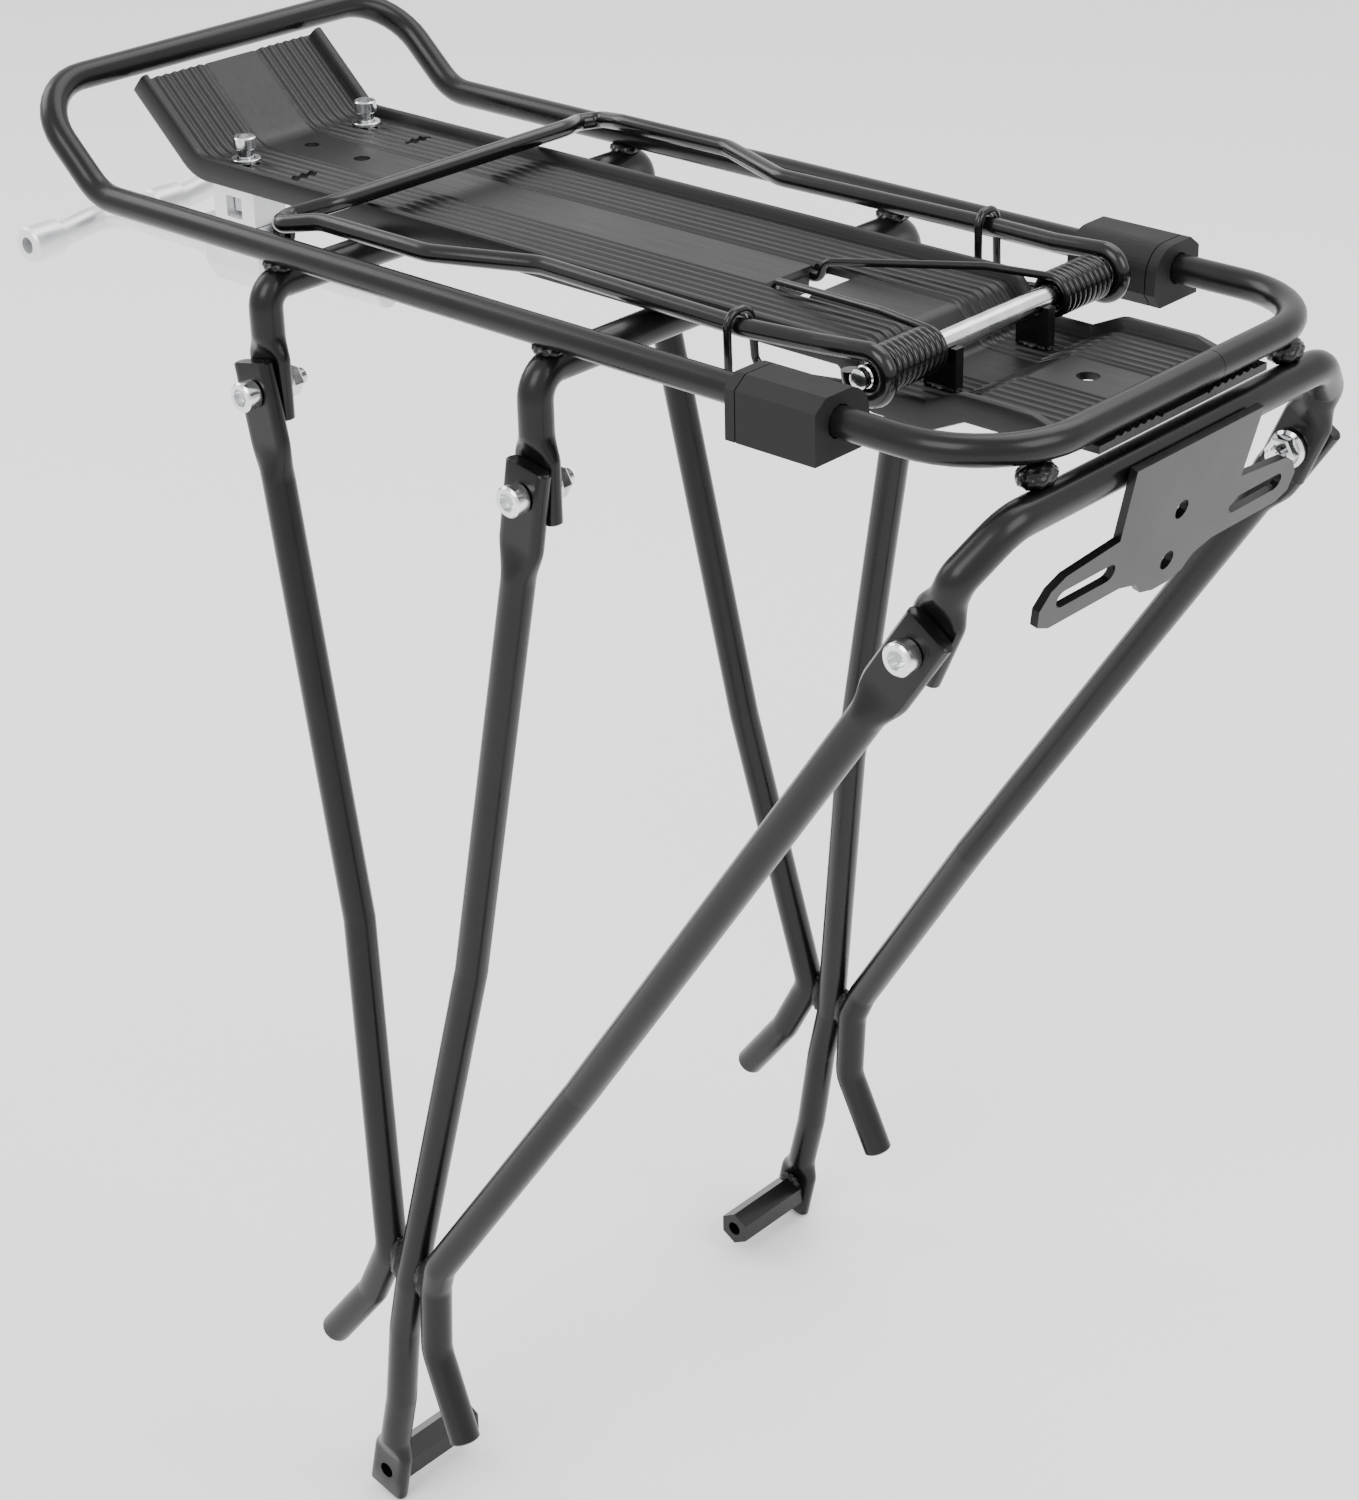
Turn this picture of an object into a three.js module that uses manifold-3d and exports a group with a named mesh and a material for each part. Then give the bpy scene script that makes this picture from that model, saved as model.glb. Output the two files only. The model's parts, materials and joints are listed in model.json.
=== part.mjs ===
// Bicycle rear rack: a bent-tube rail loop over a ribbed platform, three bolted legs a side,
// a sprung parcel clip, a reflector bracket and two adjustable seat-stay rods.
// Millimetres, +X forward, +Y to the bicycle's left, +Z up. The origin is midway between the
// two foot holes that bolt to the bicycle frame.
import * as THREE from 'three';
import { mergeVertices } from 'three/addons/utils/BufferGeometryUtils.js';
import Module from 'manifold-3d';

const wasm = await Module();
wasm.setup();

const GAP = 0.35;

// Rail loop: level sides that rise at the front to a raised cross piece
const RAIL_RADIUS = 4;
const RAIL_HALF_WIDTH = 70;
const RAIL_Z = 382.5;
const RAIL_REAR_X = -203.5;
const RAIL_KINK_X = 117;
const RAIL_FRONT_X = 146;
const RAIL_FRONT_Z = 408.5;
const RAIL_SEAM_Y = -15;

// Platform plate
const DECK_TOP = 383.4;
const DECK_SHEET = 2;
const DECK_HALF_WIDTH = 35.5;
const LIP_WIDTH = 3.5;
const LIP_ABOVE = 3.1;
const LIP_BELOW = 4.4;
const LIP_REAR_X = -195;
const FOLD_X = 117;
const FLAP_END = { x: 140.4, z: 403.6 };
const TROUGH = { front: -129, floorFront: -138, floorRear: -156, rear: -166, depth: 9.9 };
const REAR_STEP = 5.3;
const SLOT = { x: 83, width: 3.5, inner: 18, outer: 27.5 };
const DECK_HOLES = [[105, 2.25], [83, 2.5], [-178, 3]];
const WINDOW = { rear: -97, front: -82, halfWidth: 11.2, tabHalfWidth: 8.2, tabDepth: 7 };

// Cross tubes and the flattened stubs their ends turn down into
const TUBE_RADIUS = 4.75;
const CROSS_Z = 373.4;
const REAR_CROSS_Z = 367.9;
const STUB_BELOW_BOLT = 8.5;
const FLAT_THICKNESS = 4.4;
const FLAT_WIDTH = 14.5;

// The bolts that hold each leg's flattened top against a stub; y is the stub's middle
const LEG_BOLT = {
  front: { x: 41.5, y: 75.2, z: 344.4 },
  middle: { x: -61.5, y: 75.2, z: 341.4 },
  rear: { x: -190.5, y: 78.5, z: 338.4 },
};
const STUB_TO_LEG = FLAT_THICKNESS + GAP;
const BOLT_RADIUS = 2.5;
const BOLT_HEAD = { radius: 4.25, length: 4.6, socket: 2.3, socketDepth: 2.6 };
const NUT = { flangeRadius: 5.4, flange: 1.4, radius: 4.6, length: 4.4 };
const BOLT_TIP = 9;

// Feet and the hexagonal bosses that space them from the bicycle frame
const FOOT_Y = 98;
const FOOT_HOLE = 2.6;
const BOSS = { inner: 65, flats: 10.4, bore: 2.5 };

// Clip, axle and torsion springs
const AXLE = { x: -148, z: 385.4, radius: 3, bore: 1.7, half: 50.5 };
const PIN = { radius: 1.4, half: 53, head: 2.6 };
const CLIP_WIRE = 2.5;
const CLIP_Z = 389.4;
const CLIP_BAR_X = 43;
const EYE_Y = 48;
const EYE_RADIUS = AXLE.radius + CLIP_WIRE + 0.3;
const SPRING_WIRE = 1.1;
const COIL = { radius: 5, turns: 8, inner: 25, outer: 43.6 };
const SADDLE = { y: 19, thickness: 3, halfLength: 5 };

// Rubber blocks on the rails
const BLOCK = { rear: -157, front: -129, inner: 59, outer: 79, low: 373.5, high: 389.8, cap: 3 };

// Reflector bracket: a leaning plate with a slotted arm to each side
const BRACKET = { x: -211.8, top: 370.4, thickness: 2.2, lean: 0.236 };

// Seat-stay rods and the clamps that hang them under the deck
const CLAMP = { x: 107, y: 24, rear: 98, front: 116, half: 6, top: 381.05, split: 366.2 };
const LOWER_CLAMP = { rear: 98, front: 122, bottom: 345.5 };
const STAY = { z: 355.4, radius: 4, rear: 48, front: 174, reach: 33, bend: 12, drop: 3 };
const FERRULE = { radius: 5.6, length: 12, bore: 2.6 };

const FINISH = {
  blackPaint: { color: 0x0c0c0d, roughness: 0.3, metalness: 0.1 },
  blackAnodised: { color: 0x131314, roughness: 0.42, metalness: 0.6 },
  springWire: { color: 0x0a0a0b, roughness: 0.22, metalness: 0.5 },
  zinc: { color: 0xd6d8da, roughness: 0.22, metalness: 1 },
  aluminium: { color: 0xc9cbcd, roughness: 0.45, metalness: 0.9 },
  rubber: { color: 0x151515, roughness: 0.75, metalness: 0 },
};

const rack = new THREE.Group();

function add(name, geometry, finish) {
  const mesh = new THREE.Mesh(geometry, new THREE.MeshStandardMaterial(FINISH[finish]));
  mesh.name = name;
  rack.add(mesh);
  return mesh;
}

const point = (x, y, z) => new THREE.Vector3(x, y, z);

// A path corner with its own bend radius, or at which the tube is pressed flat across Y
const bent = (x, y, z, bend) => Object.assign(point(x, y, z), { bend });
const flat = (x, y, z) => Object.assign(point(x, y, z), { flat: 1 });
const mirrorPoint = (p) => Object.assign(point(p.x, -p.y, p.z), { bend: p.bend, flat: p.flat });

// A path of straight runs joined by round bends, with a station wherever the path turns.
// A corner whose bend is 0 is mitred.
class BentPath extends THREE.Curve {
  constructor(corners, radius, stepsPerBend = 4) {
    super();
    const last = corners.length - 1;
    this.stations = [];
    this.addStation(corners[0], corners[1].clone().sub(corners[0]), corners[0].flat);
    for (let i = 1; i < last; i += 1) {
      this.addBend(corners[i - 1], corners[i], corners[i + 1], radius, stepsPerBend);
    }
    const arriving = corners[last].clone().sub(corners[last - 1]);
    this.addStation(corners[last], arriving, corners[last].flat);
  }

  addStation(at, tangent, flatness = 0) {
    this.stations.push({ at: at.clone(), tangent: tangent.clone().normalize(), flatness });
  }

  addBend(previous, corner, next, radius, stepsPerBend) {
    const back = previous.clone().sub(corner);
    const onward = next.clone().sub(corner);
    const half = back.angleTo(onward) / 2;
    const room = 0.49 * Math.min(back.length(), onward.length());
    const bend = corner.bend ?? radius;
    const setback = Math.min(bend / Math.tan(half), room);
    const turn = Math.PI - 2 * half;
    back.normalize();
    onward.normalize();
    if (turn < 0.02 || bend === 0) {
      this.addStation(corner, onward.sub(back), corner.flat);
      return;
    }
    const start = corner.clone().addScaledVector(back, setback);
    const inward = back.clone().add(onward).normalize();
    const centre = corner.clone().addScaledVector(inward, setback / Math.cos(half));
    const spoke = start.sub(centre);
    const heading = back.clone().negate();
    const axis = new THREE.Vector3().crossVectors(heading, onward).normalize();
    const steps = Math.max(1, Math.round(stepsPerBend * turn / (Math.PI / 2)));
    for (let k = 0; k <= steps; k += 1) {
      const angle = turn * k / steps;
      const at = spoke.clone().applyAxisAngle(axis, angle).add(centre);
      this.addStation(at, heading.clone().applyAxisAngle(axis, angle), corner.flat);
    }
  }

  between(u, key) {
    const place = u * (this.stations.length - 1);
    const i = Math.min(Math.floor(place), this.stations.length - 2);
    return this.stations[i][key].clone().lerp(this.stations[i + 1][key], place - i);
  }

  getPointAt(u) {
    return this.between(u, 'at');
  }

  getTangentAt(u) {
    return this.between(u, 'tangent').normalize();
  }
}

function roundSection(radius, sides) {
  const corners = [];
  for (let i = 0; i < sides; i += 1) {
    const angle = 2 * Math.PI * (i + 0.5) / sides;
    corners.push(new THREE.Vector2(radius * Math.cos(angle), radius * Math.sin(angle)));
  }
  return new THREE.Shape(corners);
}

function tubeAlong(path, radius, sides = 10) {
  const steps = path.stations.length - 1;
  const options = { steps, extrudePath: path, bevelEnabled: false };
  const tube = new THREE.ExtrudeGeometry(roundSection(radius, sides), options);
  return pressFlat(tube, path, radius);
}

// Squeezes the rings of a tube that stand at flat stations: thin across Y and wider along the tube
function pressFlat(tube, path, radius) {
  const position = tube.attributes.position;
  const flats = path.stations.filter((station) => station.flatness > 0);
  const vertex = new THREE.Vector3();
  for (let i = 0; i < position.count; i += 1) {
    vertex.fromBufferAttribute(position, i);
    for (const { at, tangent } of flats) {
      const arm = vertex.clone().sub(at);
      if (Math.abs(arm.dot(tangent)) < 0.01 && arm.length() < radius * 1.01) {
        arm.multiply(point(FLAT_WIDTH / (2 * radius), FLAT_THICKNESS / (2 * radius), 1));
        arm.z *= FLAT_WIDTH / (2 * radius);
        position.setXYZ(i, at.x + arm.x, at.y + arm.y, at.z + arm.z);
        break;
      }
    }
  }
  return tube;
}

// ---- solids that are joined or cut ----

function toSolid(geometry) {
  const bare = geometry.clone();
  bare.deleteAttribute('normal');
  bare.deleteAttribute('uv');
  const merged = mergeVertices(bare, 1e-4);
  const mesh = new wasm.Mesh({
    numProp: 3,
    vertProperties: new Float32Array(merged.attributes.position.array),
    triVerts: new Uint32Array(merged.index.array),
  });
  return new wasm.Manifold(mesh);
}

function toGeometry(solid) {
  const mesh = solid.getMesh();
  const geometry = new THREE.BufferGeometry();
  geometry.setAttribute('position', new THREE.BufferAttribute(mesh.vertProperties, 3));
  geometry.setIndex(new THREE.BufferAttribute(mesh.triVerts, 1));
  geometry.computeVertexNormals();
  return geometry;
}

function indexed(geometry) {
  return toGeometry(toSolid(geometry));
}

function joined(geometries) {
  return geometries.map(toSolid).reduce((all, one) => all.add(one));
}

function cut(body, tools) {
  return tools.reduce((rest, tool) => rest.subtract(toSolid(tool)), body);
}

// A cylinder, or a prism with few sides, along X, Y or Z and centred on a point
function rod(axis, radius, length, centre, sides = 16) {
  const geometry = new THREE.CylinderGeometry(radius, radius, length, sides);
  if (axis === 'x') geometry.rotateZ(-Math.PI / 2);
  if (axis === 'z') geometry.rotateX(Math.PI / 2);
  return geometry.translate(centre.x, centre.y, centre.z);
}

function block(low, high) {
  const size = high.clone().sub(low);
  const middle = low.clone().add(high).multiplyScalar(0.5);
  return new THREE.BoxGeometry(size.x, size.y, size.z).translate(middle.x, middle.y, middle.z);
}

// A flat outline drawn in X and Z, given thickness from one Y to another
function slabAcross(outline, yLow, yHigh) {
  const options = { depth: yHigh - yLow, bevelEnabled: false, curveSegments: 6 };
  return new THREE.ExtrudeGeometry(outline, options).rotateX(Math.PI / 2).translate(0, yHigh, 0);
}

// The same shape on the rack's other side, with its faces still pointing out
function mirrorAcross(geometry) {
  const copy = geometry.clone().scale(1, -1, 1);
  const index = copy.index.array;
  for (let i = 0; i < index.length; i += 3) {
    [index[i], index[i + 1]] = [index[i + 1], index[i]];
  }
  copy.computeVertexNormals();
  return copy;
}

// ---- rail loop: one tube, butted in its rear cross piece ----

function railLoop() {
  const left = [
    bent(RAIL_REAR_X, RAIL_HALF_WIDTH, RAIL_Z, 28),
    bent(RAIL_KINK_X, RAIL_HALF_WIDTH, RAIL_Z, 16),
    bent(RAIL_FRONT_X, RAIL_HALF_WIDTH, RAIL_FRONT_Z, 24),
  ];
  const right = left.map(mirrorPoint).reverse();
  const start = point(RAIL_REAR_X, RAIL_SEAM_Y + GAP / 2, RAIL_Z);
  const end = point(RAIL_REAR_X, RAIL_SEAM_Y - GAP / 2, RAIL_Z);
  return tubeAlong(new BentPath([start, ...left, ...right, end], 28, 6), RAIL_RADIUS, 12);
}

// ---- platform plate: a bent sheet with a raised lip along each side ----

// The sheet's middle line from its rear end, through the trough, to the top of the front flap
function deckLine(rearX) {
  const middle = DECK_TOP - DECK_SHEET / 2;
  return new BentPath([
    point(rearX, 0, middle - REAR_STEP),
    point(TROUGH.rear, 0, middle - REAR_STEP),
    point(TROUGH.floorRear, 0, middle - TROUGH.depth),
    point(TROUGH.floorFront, 0, middle - TROUGH.depth),
    point(TROUGH.front, 0, middle),
    bent(FOLD_X, 0, middle, 12),
    point(FLAP_END.x, 0, FLAP_END.z),
  ], 4, 4);
}

function bandAlong(path, below, above) {
  const offset = ({ at, tangent }, amount) => (
    new THREE.Vector2(at.x - tangent.z * amount, at.z + tangent.x * amount)
  );
  const under = path.stations.map((station) => offset(station, -below));
  const over = path.stations.map((station) => offset(station, above)).reverse();
  return new THREE.Shape([...under, ...over]);
}

function deckOpenings() {
  const slotMiddle = (SLOT.inner + SLOT.outer) / 2;
  const slotHalf = (SLOT.outer - SLOT.inner) / 2;
  const slots = [1, -1].map((side) => block(
    point(SLOT.x - SLOT.width / 2, side * slotMiddle - slotHalf, DECK_TOP - 4),
    point(SLOT.x + SLOT.width / 2, side * slotMiddle + slotHalf, DECK_TOP + 2),
  ));
  const holes = DECK_HOLES.map(([x, r]) => rod('z', r, 16, point(x, 0, DECK_TOP - 3), 12));
  const screwHoles = [1, -1].map((side) => (
    rod('z', BOLT_RADIUS + 0.4, 8, point(CLAMP.x, side * CLAMP.y, DECK_TOP), 12)
  ));
  const window = block(
    point(WINDOW.rear, -WINDOW.halfWidth, DECK_TOP - 6),
    point(WINDOW.front, WINDOW.halfWidth, DECK_TOP + 2),
  );
  return [...slots, ...holes, ...screwHoles, window];
}

function platformPlate() {
  const half = DECK_SHEET / 2;
  const inner = DECK_HALF_WIDTH - LIP_WIDTH;
  const sheetBand = bandAlong(deckLine(RAIL_REAR_X - 3), half, half);
  const sheet = slabAcross(sheetBand, -inner - 0.5, inner + 0.5);
  const lipBand = bandAlong(deckLine(LIP_REAR_X), LIP_BELOW - half, LIP_ABOVE + half);
  const lips = [
    slabAcross(lipBand, inner, DECK_HALF_WIDTH),
    slabAcross(lipBand, -DECK_HALF_WIDTH, -inner),
  ];
  // the tongue cut from the window stays on at its front edge, bent down
  const tab = block(
    point(WINDOW.front - 0.6, -WINDOW.tabHalfWidth, DECK_TOP - WINDOW.tabDepth),
    point(WINDOW.front + 1.2, WINDOW.tabHalfWidth, DECK_TOP - 0.3),
  );
  const plate = cut(joined([sheet, ...lips]), deckOpenings());
  return toGeometry(plate.add(toSolid(tab)));
}

// ---- cross tubes: level under the rails, turned down into flattened stubs ----

function boltHole(bolt, side) {
  return rod('y', BOLT_RADIUS + 0.15, 24, point(bolt.x, side * bolt.y, bolt.z), 12);
}

// The stub runs down from the shoulder through the bolt; the rest is the mirrored other end
function crossTube(bolt, shoulder, inboard) {
  const down = point(bolt.x, bolt.y, bolt.z).sub(shoulder).normalize();
  const along = (distance) => point(bolt.x, bolt.y, bolt.z).addScaledVector(down, distance);
  const end = Object.assign(along(STUB_BELOW_BOLT), { flat: 1 });
  const flatStart = Object.assign(along(-8.5), { flat: 1 });
  const left = [end, flatStart, along(-15), shoulder, ...inboard];
  const path = new BentPath([...left, ...left.map(mirrorPoint).reverse()], 3, 5);
  const holes = [boltHole(bolt, 1), boltHole(bolt, -1)];
  return toGeometry(cut(toSolid(tubeAlong(path, TUBE_RADIUS, 12)), holes));
}

function levelCrossTube(bolt) {
  return crossTube(bolt, bent(bolt.x, bolt.y, CROSS_Z, 13), []);
}

function rearCrossTube() {
  const bolt = LEG_BOLT.rear;
  const turn = bent(RAIL_REAR_X, 66, REAR_CROSS_Z, 14);
  return crossTube(bolt, bent(RAIL_REAR_X + 5, bolt.y, 357, 14), [turn]);
}

// ---- legs: flattened where they bolt on, meeting just above the foot ----

const LEG_CORNERS = {
  front: [
    point(10.4, 85.1, 190),
    point(-7.3, 97.4, 88),
    point(3.4, 96.8, 66.7),
    point(21, 98.2, 43.7),
  ],
  middle: [
    point(-35.2, 84.3, 190),
    point(-15.9, 98.2, 80),
    point(-11.6, 98.3, 60.8),
    point(-7.3, 98, 31.5),
    point(-3.2, FOOT_Y, 14),
    flat(-1.6, FOOT_Y, 7),
    flat(1.8, FOOT_Y, -8.5),
  ],
  rear: [
    point(-80.2, 88, 170),
    point(-29.5, 98.4, 92),
    point(-26, 97.4, 83),
    point(-24.6, 97.6, 59),
    point(-36.4, 99.1, 31.4),
  ],
};

function leg(which) {
  const bolt = LEG_BOLT[which];
  const head = point(bolt.x, bolt.y + STUB_TO_LEG, bolt.z);
  const rake = head.clone().sub(LEG_CORNERS[which][0]).setY(0).normalize();
  const along = (distance) => head.clone().addScaledVector(rake, distance);
  const top = Object.assign(along(8.5), { flat: 1 });
  const flatEnd = Object.assign(along(-14), { flat: 1 });
  const path = new BentPath([top, flatEnd, along(-26), ...LEG_CORNERS[which]], 12, 4);
  const holes = [boltHole(bolt, 1)];
  if (which === 'middle') {
    holes.push(rod('y', FOOT_HOLE, 12, point(0, FOOT_Y, 0), 12));
  }
  return toGeometry(cut(toSolid(tubeAlong(path, TUBE_RADIUS, 10)), holes));
}

// Hexagonal spacer between a foot and the bicycle frame, drilled through
function footBoss() {
  const outer = FOOT_Y - FLAT_THICKNESS / 2 - GAP;
  const length = outer - BOSS.inner;
  const centre = point(0, BOSS.inner + length / 2, 0);
  const hex = rod('y', BOSS.flats / Math.sqrt(3), length, centre, 6);
  return toGeometry(cut(toSolid(hex), [rod('y', BOSS.bore, length + 4, centre, 12)]));
}

// ---- leg fasteners ----

// Socket-head bolt: head outboard of the leg, tip inboard of the nut
function legBolt(bolt) {
  const seat = bolt.y + STUB_TO_LEG + FLAT_THICKNESS / 2 + GAP;
  const tip = bolt.y - FLAT_THICKNESS / 2 - BOLT_TIP;
  const length = seat - tip + 0.5;
  const shank = rod('y', BOLT_RADIUS - 0.1, length, point(bolt.x, tip + length / 2, bolt.z), 12);
  const centre = point(bolt.x, seat + BOLT_HEAD.length / 2, bolt.z);
  const head = rod('y', BOLT_HEAD.radius, BOLT_HEAD.length, centre, 18);
  const mouth = point(bolt.x, seat + BOLT_HEAD.length, bolt.z);
  const socket = rod('y', BOLT_HEAD.socket, 2 * BOLT_HEAD.socketDepth, mouth, 6);
  return toGeometry(cut(joined([shank, head]), [socket]));
}

// Flanged hexagon nut, inboard of the stub
function legNut(bolt) {
  const face = bolt.y - FLAT_THICKNESS / 2 - GAP;
  const flange = rod('y', NUT.flangeRadius, NUT.flange, point(bolt.x, face - NUT.flange / 2, bolt.z), 18);
  const middle = point(bolt.x, face - NUT.flange / 2 - NUT.length / 2, bolt.z);
  const hex = rod('y', NUT.radius, NUT.length + NUT.flange, middle, 6);
  const thread = rod('y', BOLT_RADIUS + 0.2, 20, middle, 12);
  return toGeometry(cut(joined([flange, hex]), [thread]));
}

// ---- spring clip: one wire, with an eye round the axle at each end ----

function clipFrame() {
  const eye = [];
  for (let i = 0; i <= 9; i += 1) {
    const angle = THREE.MathUtils.degToRad(90 + 270 * (9 - i) / 9);
    const x = AXLE.x + EYE_RADIUS * Math.cos(angle);
    eye.push(bent(x, EYE_Y, AXLE.z + EYE_RADIUS * Math.sin(angle), 0));
  }
  const left = [
    ...eye,
    bent(-132, EYE_Y + 0.5, CLIP_Z + 0.6, 20),
    point(-110, 50.5, CLIP_Z),
    point(-38, 48, CLIP_Z),
    point(-8, 60, CLIP_Z),
    point(34, 60, CLIP_Z),
    bent(47, 64.5, CLIP_Z - 2.4, 4),
    bent(50, 57, CLIP_Z - 2.4, 4),
    point(CLIP_BAR_X, 46, CLIP_Z),
  ];
  const path = new BentPath([...left, ...left.map(mirrorPoint).reverse()], 12, 4);
  return tubeAlong(path, CLIP_WIRE, 8);
}

function axleTube() {
  const centre = point(AXLE.x, 0, AXLE.z);
  const tube = rod('y', AXLE.radius, 2 * AXLE.half, centre, 16);
  return toGeometry(cut(toSolid(tube), [rod('y', AXLE.bore, 2 * AXLE.half + 4, centre, 12)]));
}

// The pin through the axle tube, riveted over at both ends
function axlePin() {
  const centre = point(AXLE.x, 0, AXLE.z);
  const shank = rod('y', PIN.radius, 2 * PIN.half, centre, 12);
  const headLength = PIN.half - AXLE.half - GAP;
  const heads = [1, -1].map((side) => (
    rod('y', PIN.head, headLength, point(AXLE.x, side * (PIN.half - headLength / 2), AXLE.z), 12)
  ));
  return toGeometry(joined([shank, ...heads]));
}

// Cradle between the trough's floor and the axle
function axleSaddle() {
  const floor = DECK_TOP - TROUGH.depth + GAP;
  const cradle = block(
    point(AXLE.x - SADDLE.halfLength, SADDLE.y - SADDLE.thickness / 2, floor),
    point(AXLE.x + SADDLE.halfLength, SADDLE.y + SADDLE.thickness / 2, AXLE.z - 0.5),
  );
  const seat = rod('y', AXLE.radius + GAP, 10, point(AXLE.x, SADDLE.y, AXLE.z), 16);
  return toGeometry(cut(toSolid(cradle), [seat]));
}

// Torsion spring: the inner leg hooks under the deck's window, the outer leg over the clip wire.
// Half a turn past the last full coil brings the wire under the axle.
function torsionSpring() {
  const perTurn = 9;
  const steps = perTurn * (COIL.turns + 0.5);
  const coil = [];
  for (let i = 0; i <= steps; i += 1) {
    const angle = Math.PI / 2 + 2 * Math.PI * i / perTurn;
    const y = THREE.MathUtils.lerp(COIL.inner, COIL.outer, i / steps);
    const x = AXLE.x + COIL.radius * Math.cos(angle);
    coil.push(bent(x, y, AXLE.z + COIL.radius * Math.sin(angle), 0));
  }
  const hookZ = DECK_TOP - DECK_SHEET - 1.5;
  const innerLeg = [
    point(-78, 9.8, hookZ),
    point(-84.5, 9.8, hookZ),
    point(-86, 9.8, DECK_TOP + 1.7),
    point(-130, 21.5, 390.2),
  ];
  const over = CLIP_Z + CLIP_WIRE + SPRING_WIRE + 0.4;
  const outerLeg = [
    point(-115.6, 44.6, 377),
    point(-109.7, 45.4, 378.5),
    point(-108.8, 46.2, over),
    point(-108.4, 54.6, over),
    point(-109, 54.8, 377),
  ];
  return tubeAlong(new BentPath([...innerLeg, ...coil, ...outerLeg], 3, 2), SPRING_WIRE, 6);
}

// ---- rubber blocks on the rails, each with an end cap ----

function blockOutline() {
  const round = 8;
  const outline = new THREE.Shape();
  outline.moveTo(BLOCK.low, BLOCK.inner + 3);
  outline.lineTo(BLOCK.low, BLOCK.outer);
  outline.lineTo(BLOCK.high - 3, BLOCK.outer);
  outline.lineTo(BLOCK.high, BLOCK.outer - 4);
  outline.lineTo(BLOCK.high, BLOCK.inner + round);
  outline.absarc(BLOCK.high - round, BLOCK.inner + round, round, 0, -Math.PI / 2, true);
  outline.lineTo(BLOCK.low + 4, BLOCK.inner);
  return outline;
}

function railBlock(rear, front) {
  const options = { depth: front - rear, bevelEnabled: false, curveSegments: 5 };
  const body = new THREE.ExtrudeGeometry(blockOutline(), options);
  // outline axes are height and distance from the middle; the depth becomes X
  body.rotateY(-Math.PI / 2).translate(front, 0, 0);
  const middle = point((rear + front) / 2, RAIL_HALF_WIDTH, RAIL_Z);
  return toGeometry(cut(toSolid(body), [rod('x', RAIL_RADIUS + GAP, 40, middle, 12)]));
}

// ---- reflector bracket ----

// Drawn upright with its top edge at height 0 and its rear face at x = 0, then leant and placed
function reflectorBracket() {
  // half of the outline, as distance from the middle and height below the top edge
  const edge = [
    [27, 0],
    [26, -20],
    [47, -22],
    [52, -24.5],
    [55, -29],
    [54, -34],
    [49, -36],
    [20, -36],
    [12, -38],
    [9, -41.5],
    [3, -43],
  ];
  const other = edge.map(([y, z]) => [-y, z]).reverse();
  const outline = new THREE.Shape([...edge, ...other].map(([y, z]) => new THREE.Vector2(y, z)));
  const options = { depth: BRACKET.thickness, bevelEnabled: false };
  const plate = new THREE.ExtrudeGeometry(outline, options);
  plate.rotateX(Math.PI / 2).rotateZ(Math.PI / 2);
  const tools = [-20.3, -35.3].map((z) => rod('x', 2.7, 12, point(0, 0, z), 12));
  for (const side of [1, -1]) {
    const [inner, outer] = [27 * side, 46 * side];
    tools.push(rod('x', 2.4, 12, point(0, inner, -28.8), 12));
    tools.push(rod('x', 2.4, 12, point(0, outer, -28.8), 12));
    const [low, high] = [Math.min(inner, outer), Math.max(inner, outer)];
    tools.push(block(point(-6, low, -31.2), point(6, high, -26.4)));
  }
  const shape = toGeometry(cut(toSolid(plate), tools));
  return shape.rotateY(-BRACKET.lean).translate(BRACKET.x, 0, BRACKET.top);
}

// ---- seat-stay rods, their clamps and the deck screws ----

// Upper clamp block with a square window for the nut and a hole for the deck screw
function clampBlock() {
  const body = block(
    point(CLAMP.rear, CLAMP.y - CLAMP.half, CLAMP.split + GAP),
    point(CLAMP.front, CLAMP.y + CLAMP.half, CLAMP.top),
  );
  const window = block(
    point(CLAMP.x - 3.4, CLAMP.y - 3.4, 367.9),
    point(CLAMP.x + 3.4, CLAMP.y + CLAMP.half + 1, 374.4),
  );
  const hole = rod('z', BOLT_RADIUS + 0.3, 20, point(CLAMP.x, CLAMP.y, 378), 12);
  return toGeometry(cut(toSolid(body), [window, hole]));
}

// Lower clamp, bored for the stay rod and rounded underneath
function lowerClamp() {
  const outline = new THREE.Shape();
  const middle = CLAMP.y;
  const top = CLAMP.split;
  outline.moveTo(middle - CLAMP.half, top);
  outline.lineTo(middle - CLAMP.half, STAY.z - 4);
  outline.lineTo(middle - 2.5, LOWER_CLAMP.bottom);
  outline.lineTo(middle + 2.5, LOWER_CLAMP.bottom);
  outline.lineTo(middle + CLAMP.half, STAY.z - 4);
  outline.lineTo(middle + CLAMP.half, top);
  const options = { depth: LOWER_CLAMP.front - LOWER_CLAMP.rear, bevelEnabled: false };
  const body = new THREE.ExtrudeGeometry(outline, options);
  body.rotateX(Math.PI / 2).rotateZ(Math.PI / 2).translate(LOWER_CLAMP.rear, 0, 0);
  const bore = rod('x', STAY.radius + GAP, 60, point(CLAMP.x, CLAMP.y, STAY.z), 12);
  return toGeometry(cut(toSolid(body), [bore]));
}

// Square nut held in the clamp block's window
function squareNut() {
  const nut = block(point(CLAMP.x - 3, CLAMP.y - 3, 369), point(CLAMP.x + 3, CLAMP.y + 3, 373));
  const thread = rod('z', BOLT_RADIUS + 0.2, 10, point(CLAMP.x, CLAMP.y, 371), 12);
  return toGeometry(cut(toSolid(nut), [thread]));
}

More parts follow.
